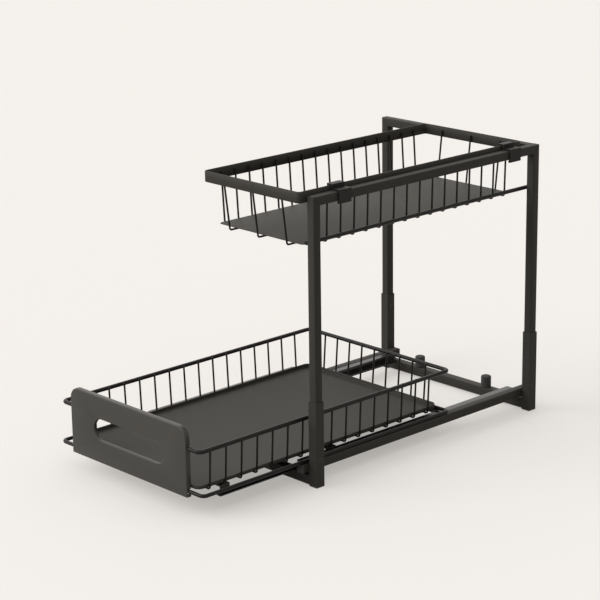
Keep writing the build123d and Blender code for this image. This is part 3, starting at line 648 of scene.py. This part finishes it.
def buildPanel():
    low, high = corners("drawer_front_panel")
    bottomGap, topGap = ringGap("drawer_bottom_ring"), ringGap("drawer_top_ring")
    breaks = [low.z, *bottomGap, panel["sideBreak"], *topGap]
    wall = panel["wall"]
    stations = [(inset, low.y + depth) for inset, depth in quarterBend(panel["bend"], panel["bendSteps"])]
    stations.append((0.0, high.y))
    shape = bmesh.new()
    loops = [[shape.verts.new((x, y, z)) for x, z in panelOutline(low, high, inset, breaks)]
             for inset, y in stations]
    count = len(loops[0])
    for i in range(len(loops) - 1):
        for k in range(count - 1):
            z = (loops[0][k].co.z + loops[0][k + 1].co.z) / 2
            beside = k < len(breaks) - 1 or k >= count - len(breaks)
            notched = bottomGap[0] < z < bottomGap[1] or topGap[0] < z < topGap[1]
            if beside and notched and stations[i + 1][1] > low.y + wall:
                continue
            shape.faces.new((loops[i][k], loops[i][k + 1], loops[i + 1][k + 1], loops[i + 1][k]))
    # the slot's rolled lip, cut short where the top ring runs behind it
    slotX, slotZ = (low.x + high.x) / 2 + panel["slotShift"], low.z + panel["slotRise"]
    lipLoops = []
    for grow, depth in quarterBend(panel["lipBend"], panel["lipSteps"]) + [(0.0, panel["lip"])]:
        ring = []
        for x, z in slotOutline(slotX, slotZ, grow):
            allowed = wall if z > topGap[0] - panel["lipShort"] else depth
            ring.append(shape.verts.new((x, low.y + min(depth, allowed), z)))
        lipLoops.append(ring)
    slotCount = len(lipLoops[0])
    for i in range(len(lipLoops) - 1):
        for k in range(slotCount):
            n = (k + 1) % slotCount
            shape.faces.new((lipLoops[i][k], lipLoops[i + 1][k], lipLoops[i + 1][n], lipLoops[i][n]))
    # the flat front between the outline and the slot
    rim = [shape.edges.get((loops[0][k], loops[0][k + 1])) for k in range(count - 1)]
    rim.append(shape.edges.new((loops[0][-1], loops[0][0])))
    rim += [shape.edges.get((lipLoops[0][k], lipLoops[0][(k + 1) % slotCount])) for k in range(slotCount)]
    bmesh.ops.triangle_fill(shape, edges=rim, use_beauty=True)
    bmesh.ops.remove_doubles(shape, verts=shape.verts, dist=mergeReach)
    bmesh.ops.recalc_face_normals(shape, faces=shape.faces)
    front = min(shape.faces, key=lambda face: face.calc_center_median().y)
    if front.normal.y > 0:
        bmesh.ops.reverse_faces(shape, faces=shape.faces)
    mesh = meshOf(shape, "frontPanel")
    adopt("frontPanel", mesh, coatSheet, "drawer", ("drawer_front_panel",), wall=wall, edge=panel["edge"])


buildPanel()
print("panel built")


drawer = {"ringBend": 6 * mm, "ringSteps": 10, "ringSides": 20, "wire": 1.15 * mm, "bend": 3 * mm,
          "sideLean": 2.5 * mm, "backLean": 4 * mm, "topSink": 0.05, "crossPitch": 23.2 * mm,
          "crossCount": 16, "longPitch": 22 * mm, "longCount": 9, "barSteps": 12, "barEdge": 0.4 * mm}
drawerWelds = {"size": 1.5 * mm, "thin": 0.8, "tall": 1.1, "seat": 0.9, "lowRise": 2.2 * mm,
               "lowSeat": 0.2 * mm, "sideSeed": 50, "backSeed": 2.7, "lowSeed": 1.9}


def buildRing(name, node):
    low, high = corners(node)
    radius, z = (high.z - low.z) / 2, (high.z + low.z) / 2
    x0, x1, y0, y1 = low.x + radius, high.x - radius, low.y + radius, high.y - radius
    turns = [(x1, y0, z), (x1, y1, z), (x0, y1, z), (x0, y0, z)]
    path = roundPath(turns, drawer["ringBend"], drawer["ringSteps"], closed=True)
    verts, faces = tubeParts(path, radius, closed=True, sides=drawer["ringSides"])
    makePiece(name, verts, faces, coatWire, "drawer", (node,))


def wireSet(name, node, routes, look, body):
    verts, faces = joinParts([tubeParts(roundPath(route, look["bend"]), look["wire"]) for route in routes])
    makePiece(name, verts, faces, coatWire, body, (node,))


def buildDrawerWires():
    buildRing("topRing", "drawer_top_ring")
    buildRing("bottomRing", "drawer_bottom_ring")
    radius, lean = drawer["wire"], drawer["sideLean"]
    size = drawerWelds["size"]
    thin, tall = size * drawerWelds["thin"], size * drawerWelds["tall"]
    seat = radius * drawerWelds["seat"]
    ringLow, ringHigh = corners("drawer_top_ring")
    ringZ = (ringLow.z + ringHigh.z) / 2
    low, high = corners("drawer_cross_wires")
    left, right, bottom = low.x + radius, high.x - radius, low.z + radius
    top = high.z - radius * drawer["topSink"]
    routes, nuggets = [], []
    for i in range(drawer["crossCount"]):
        y = low.y + radius + i * drawer["crossPitch"]
        routes.append([(left, y, top), (left + lean, y, bottom), (right - lean, y, bottom), (right, y, top)])
        for x, outward in ((left, -1), (right, 1)):
            seed = i + x * drawerWelds["sideSeed"]
            nuggets.append(blob((x + outward * seat, y, ringZ), (thin, size, tall), seed))
    wireSet("crossWires", "drawer_cross_wires", routes, drawer, "drawer")
    low, high = corners("drawer_long_wires")
    back, bottom = high.y - radius, low.z + radius
    lowZ = corners("drawer_bottom_ring")[0].z + drawerWelds["lowRise"]
    routes = []
    for i in range(drawer["longCount"]):
        x = low.x + radius + i * drawer["longPitch"]
        routes.append([(x, back, top), (x, back - drawer["backLean"], bottom), (x, low.y, bottom)])
        nuggets.append(blob((x, back + seat, ringZ), (size, thin, tall), i * drawerWelds["backSeed"]))
        spot = (x, low.y - drawerWelds["lowSeat"], lowZ)
        nuggets.append(blob(spot, (size, size, size), i * drawerWelds["lowSeed"]))
    wireSet("longWires", "drawer_long_wires", routes, drawer, "drawer")
    verts, faces = joinParts(nuggets)
    makePiece("drawerWelds", verts, faces, coatWire, "drawer", smoothUnder=80)


def buildSideBar():
    # flat bar with round ends on the left run of the bottom ring
    low, high = corners("drawer_side_bar")
    radius, middle = (high.x - low.x) / 2, (low.x + high.x) / 2
    outline = arcPoints(middle, high.y - radius, radius, 0, math.pi, drawer["barSteps"])
    outline += arcPoints(middle, low.y + radius, radius, math.pi, math.pi, drawer["barSteps"])
    flatPiece("sideBar", "drawer_side_bar", outline, coatSheet, "drawer", drawer["barEdge"])


buildDrawerWires()
buildSideBar()
print("drawer wires built")


tray = {"wall": 1.0 * mm, "bend": 2.0 * mm, "bendSteps": 5, "corner": 9 * mm, "sideRise": 4.8 * mm,
        "backRise": 5.8 * mm, "edge": 0.2 * mm}


def trayRise(y, backFrom):
    # the wall's height: low along the sides, easing up to the rear
    ease = min(max((y - backFrom) / tray["backRise"], 0.0), 1.0)
    return tray["sideRise"] + (tray["backRise"] - tray["sideRise"]) * ease


def buildTray():
    low, high = corners("drawer_tray")
    backFrom = high.y - tray["corner"] - tray["backRise"]
    shape = bmesh.new()
    loops = []
    for inset, rise in quarterBend(tray["bend"], tray["bendSteps"]):
        outline = loopOutline(low, high, inset, tray["corner"])
        loops.append([shape.verts.new((x, y, low.z + rise)) for x, y in outline])
    outline = loopOutline(low, high, 0.0, tray["corner"])
    loops.append([shape.verts.new((x, y, low.z + trayRise(y, backFrom))) for x, y in outline])
    count = len(outline)
    for i in range(len(loops) - 1):
        for k in range(count):
            n = (k + 1) % count
            shape.faces.new((loops[i][k], loops[i][n], loops[i + 1][n], loops[i + 1][k]))
    floor = shape.faces.new(loops[0])
    bmesh.ops.recalc_face_normals(shape, faces=shape.faces)
    if floor.normal.z > 0:
        bmesh.ops.reverse_faces(shape, faces=shape.faces)
    mesh = meshOf(shape, "drawerTray")
    adopt("drawerTray", mesh, coatTray, "drawer", ("drawer_tray",), wall=tray["wall"], edge=tray["edge"])


buildTray()
print("tray built")


basket = {"rimWall": 2 * mm, "rimCorner": 5 * mm, "rimSteps": 10, "rimRound": 0.5 * mm, "wire": 1.15 * mm,
          "bend": 3 * mm, "leftLean": 4 * mm, "rightLean": 1.7 * mm, "endLean": 8 * mm, "topSink": 0.05,
          "crossPitch": 21.4 * mm, "crossCount": 16, "longPitch": 48 * mm, "longCount": 3,
          "plateCorner": 5 * mm, "plateEdge": 0.25 * mm}
basketWelds = {"size": 1.4 * mm, "thin": 0.6, "tall": 1.3, "seat": 0.8, "drop": 3 * mm, "sideSeed": 70,
               "endSeed": 3.3}
rimSeam = {"at": 0.53, "width": 0.8 * mm, "seat": 0.1 * mm, "endGap": 0.3 * mm, "seed": 4}


def buildRim():
    low, high = corners("basket_rim")
    wall, soft, height = basket["rimWall"], basket["rimRound"], high.z - low.z
    profile = [(0, soft), (0, height - soft), (soft, height), (wall - soft, height),
               (wall, height - soft), (wall, soft), (wall - soft, 0), (soft, 0)]
    verts = []
    for inset, rise in profile:
        outline = loopOutline(low, high, inset, basket["rimCorner"], basket["rimSteps"])
        verts += [(x, y, low.z + rise) for x, y in outline]
    faces = loftFaces(len(profile), len(outline), closed=True)
    makePiece("basketRim", verts, faces, coatBand, "basket", ("basket_rim",), smoothUnder=50)
    # the band's butt weld shows as a thin ridge on the front
    x, y = low.x + (high.x - low.x) * rimSeam["at"], low.y + rimSeam["seat"]
    start, end = (x, y, low.z + rimSeam["endGap"]), (x, y, high.z - rimSeam["endGap"])
    verts, faces = bead(start, end, rimSeam["width"] / 2, rimSeam["seed"])
    makePiece("rimSeam", verts, faces, coatBand, "basket", smoothUnder=70)


def buildBasketWires():
    radius, size = basket["wire"], basketWelds["size"]
    thin, tall = size * basketWelds["thin"], size * basketWelds["tall"]
    seat = radius * basketWelds["seat"]
    low, high = corners("basket_cross_wires")
    left, right, bottom = low.x + radius, high.x - radius, low.z + radius
    top = high.z - radius * basket["topSink"]
    weldZ = top - basketWelds["drop"]
    routes, nuggets = [], []
    for i in range(basket["crossCount"]):
        y = low.y + radius + i * basket["crossPitch"]
        routes.append([(left, y, top), (left + basket["leftLean"], y, bottom),
                       (right - basket["rightLean"], y, bottom), (right, y, top)])
        for x, outward in ((left, -1), (right, 1)):
            seed = i + x * basketWelds["sideSeed"]
            nuggets.append(blob((x + outward * seat, y, weldZ), (thin, size, tall), seed))
    wireSet("basketCrossWires", "basket_cross_wires", routes, basket, "basket")
    low, high = corners("basket_long_wires")
    front, back, bottom = low.y + radius, high.y - radius, low.z + radius
    lean = basket["endLean"]
    routes = []
    for i in range(basket["longCount"]):
        x = low.x + radius + i * basket["longPitch"]
        routes.append([(x, front, top), (x, front + lean, bottom), (x, back - lean, bottom), (x, back, top)])
        for y, outward in ((front, -1), (back, 1)):
            seed = i * basketWelds["endSeed"] + y
            nuggets.append(blob((x, y + outward * seat, weldZ), (size, thin, tall), seed))
    wireSet("basketLongWires", "basket_long_wires", routes, basket, "basket")
    verts, faces = joinParts(nuggets)
    makePiece("basketWelds", verts, faces, coatWire, "basket", smoothUnder=80)


def buildPlate():
    low, high = corners("basket_plate")
    outline = loopOutline(low, high, 0, basket["plateCorner"])
    flatPiece("basketPlate", "basket_plate", outline, coatTray, "basket", basket["plateEdge"])


buildRim()
buildBasketWires()
buildPlate()
print("basket built")


view = {"azimuth": 46.885, "elevation": 16.384, "roll": -0.814, "distance": 2.448,
        "aim": (-0.010985, 0.002748, 0.170), "focal": 2040.0, "imageWidth": 600, "sensor": 36.0, "reach": 100}
light = {"world": 0.20, "dome": 2.35, "domeFrom": (-0.30, -0.25, 1.0), "domeSoft": 150,
         "key": 1.9, "keyFrom": (-0.55, -0.86, 0.60), "keySoft": 46}
ground = {"colour": rgba(0.765, 0.733, 0.697), "patch": rgba(0.74, 0.71, 0.67), "fibre": 30,
          "fibreShare": 0.03, "rough": 0.9, "gloss": 0.1, "bounce": rgba(0.42, 0.40, 0.38),
          "backdrop": rgba(0.888, 0.855, 0.815), "lift": 0.46, "size": 12.0, "drop": 0.2 * mm}


def setCamera():
    azimuth, elevation = math.radians(view["azimuth"]), math.radians(view["elevation"])
    level = math.cos(elevation)
    away = Vector((math.sin(azimuth) * level, -math.cos(azimuth) * level, math.sin(elevation)))
    camera = bpy.data.cameras.new("photoCamera")
    camera.sensor_width = view["sensor"]
    camera.lens = view["focal"] / view["imageWidth"] * view["sensor"]
    camera.clip_end = view["reach"]
    holder = bpy.data.objects.new("photoCamera", camera)
    holder.location = Vector(view["aim"]) + away * view["distance"]
    turn = (-away).to_track_quat("-Z", "Y") @ Quaternion((0, 0, 1), math.radians(view["roll"]))
    holder.rotation_euler = turn.to_euler()
    bpy.context.scene.collection.objects.link(holder)
    bpy.context.scene.camera = holder


def addSun(name, energy, direction, soft):
    lamp = bpy.data.lights.new(name, "SUN")
    lamp.energy = energy
    lamp.angle = math.radians(soft)
    holder = bpy.data.objects.new(name, lamp)
    holder.rotation_euler = Vector(direction).to_track_quat("Z", "Y").to_euler()
    bpy.context.scene.collection.objects.link(holder)


def setWorld():
    # the object gets dim white light, and the camera and the glosses see a pale backdrop
    world = bpy.data.worlds.new("studio")
    bpy.context.scene.world = world
    sky = Shader(world, "Background")
    sky.finish(Color=rgba(1.0, 1.0, 1.0), Strength=light["world"])
    dim = Value(sky, sky.surface.outputs[0])
    backdrop = sky.add("ShaderNodeBackground", {}, {"Color": ground["backdrop"], "Strength": 1.0})
    both = sky.add("ShaderNodeMixShader", {}, {0: sky.seenRay(), 1: dim, 2: backdrop})
    sky.put(sky.tree.nodes["World Output"].inputs["Surface"], both)


def layFloor():
    half = ground["size"] / 2
    spots = [(-half, -half, 0), (half, -half, 0), (half, half, 0), (-half, half, 0)]
    mesh = bpy.data.meshes.new("floor")
    mesh.from_pydata(spots, [], [(0, 1, 2, 3)])
    floor = bpy.data.objects.new("floor", mesh)
    bpy.context.scene.collection.objects.link(floor)
    floor.location.z = -ground["drop"]
    shader = startMaterial("paperFloor")
    fibre = shader.noise(ground["fibre"])
    tone = shader.mixColour(fibre * ground["fibreShare"], ground["colour"], ground["patch"])
    shader.finish(Base_Color=tone, Roughness=ground["rough"], Specular_IOR_Level=ground["gloss"])
    paper = Value(shader, shader.surface.outputs[0])
    glow = shader.add("ShaderNodeEmission", {}, {"Color": ground["backdrop"], "Strength": 1.0})
    dull = shader.add("ShaderNodeBsdfDiffuse", {}, {"Color": ground["bounce"]})
    lifted = shader.add("ShaderNodeMixShader", {}, {0: ground["lift"], 1: paper, 2: glow})
    both = shader.add("ShaderNodeMixShader", {}, {0: shader.seenRay(), 1: dull, 2: lifted})
    shader.put(shader.tree.nodes["Material Output"].inputs["Surface"], both)
    mesh.materials.append(shader.owner)


setCamera()
addSun("keyLight", light["key"], light["keyFrom"], light["keySoft"])
addSun("domeLight", light["dome"], light["domeFrom"], light["domeSoft"])
setWorld()
layFloor()
bpy.context.scene.view_settings.view_transform = "Standard"
print("stage set")
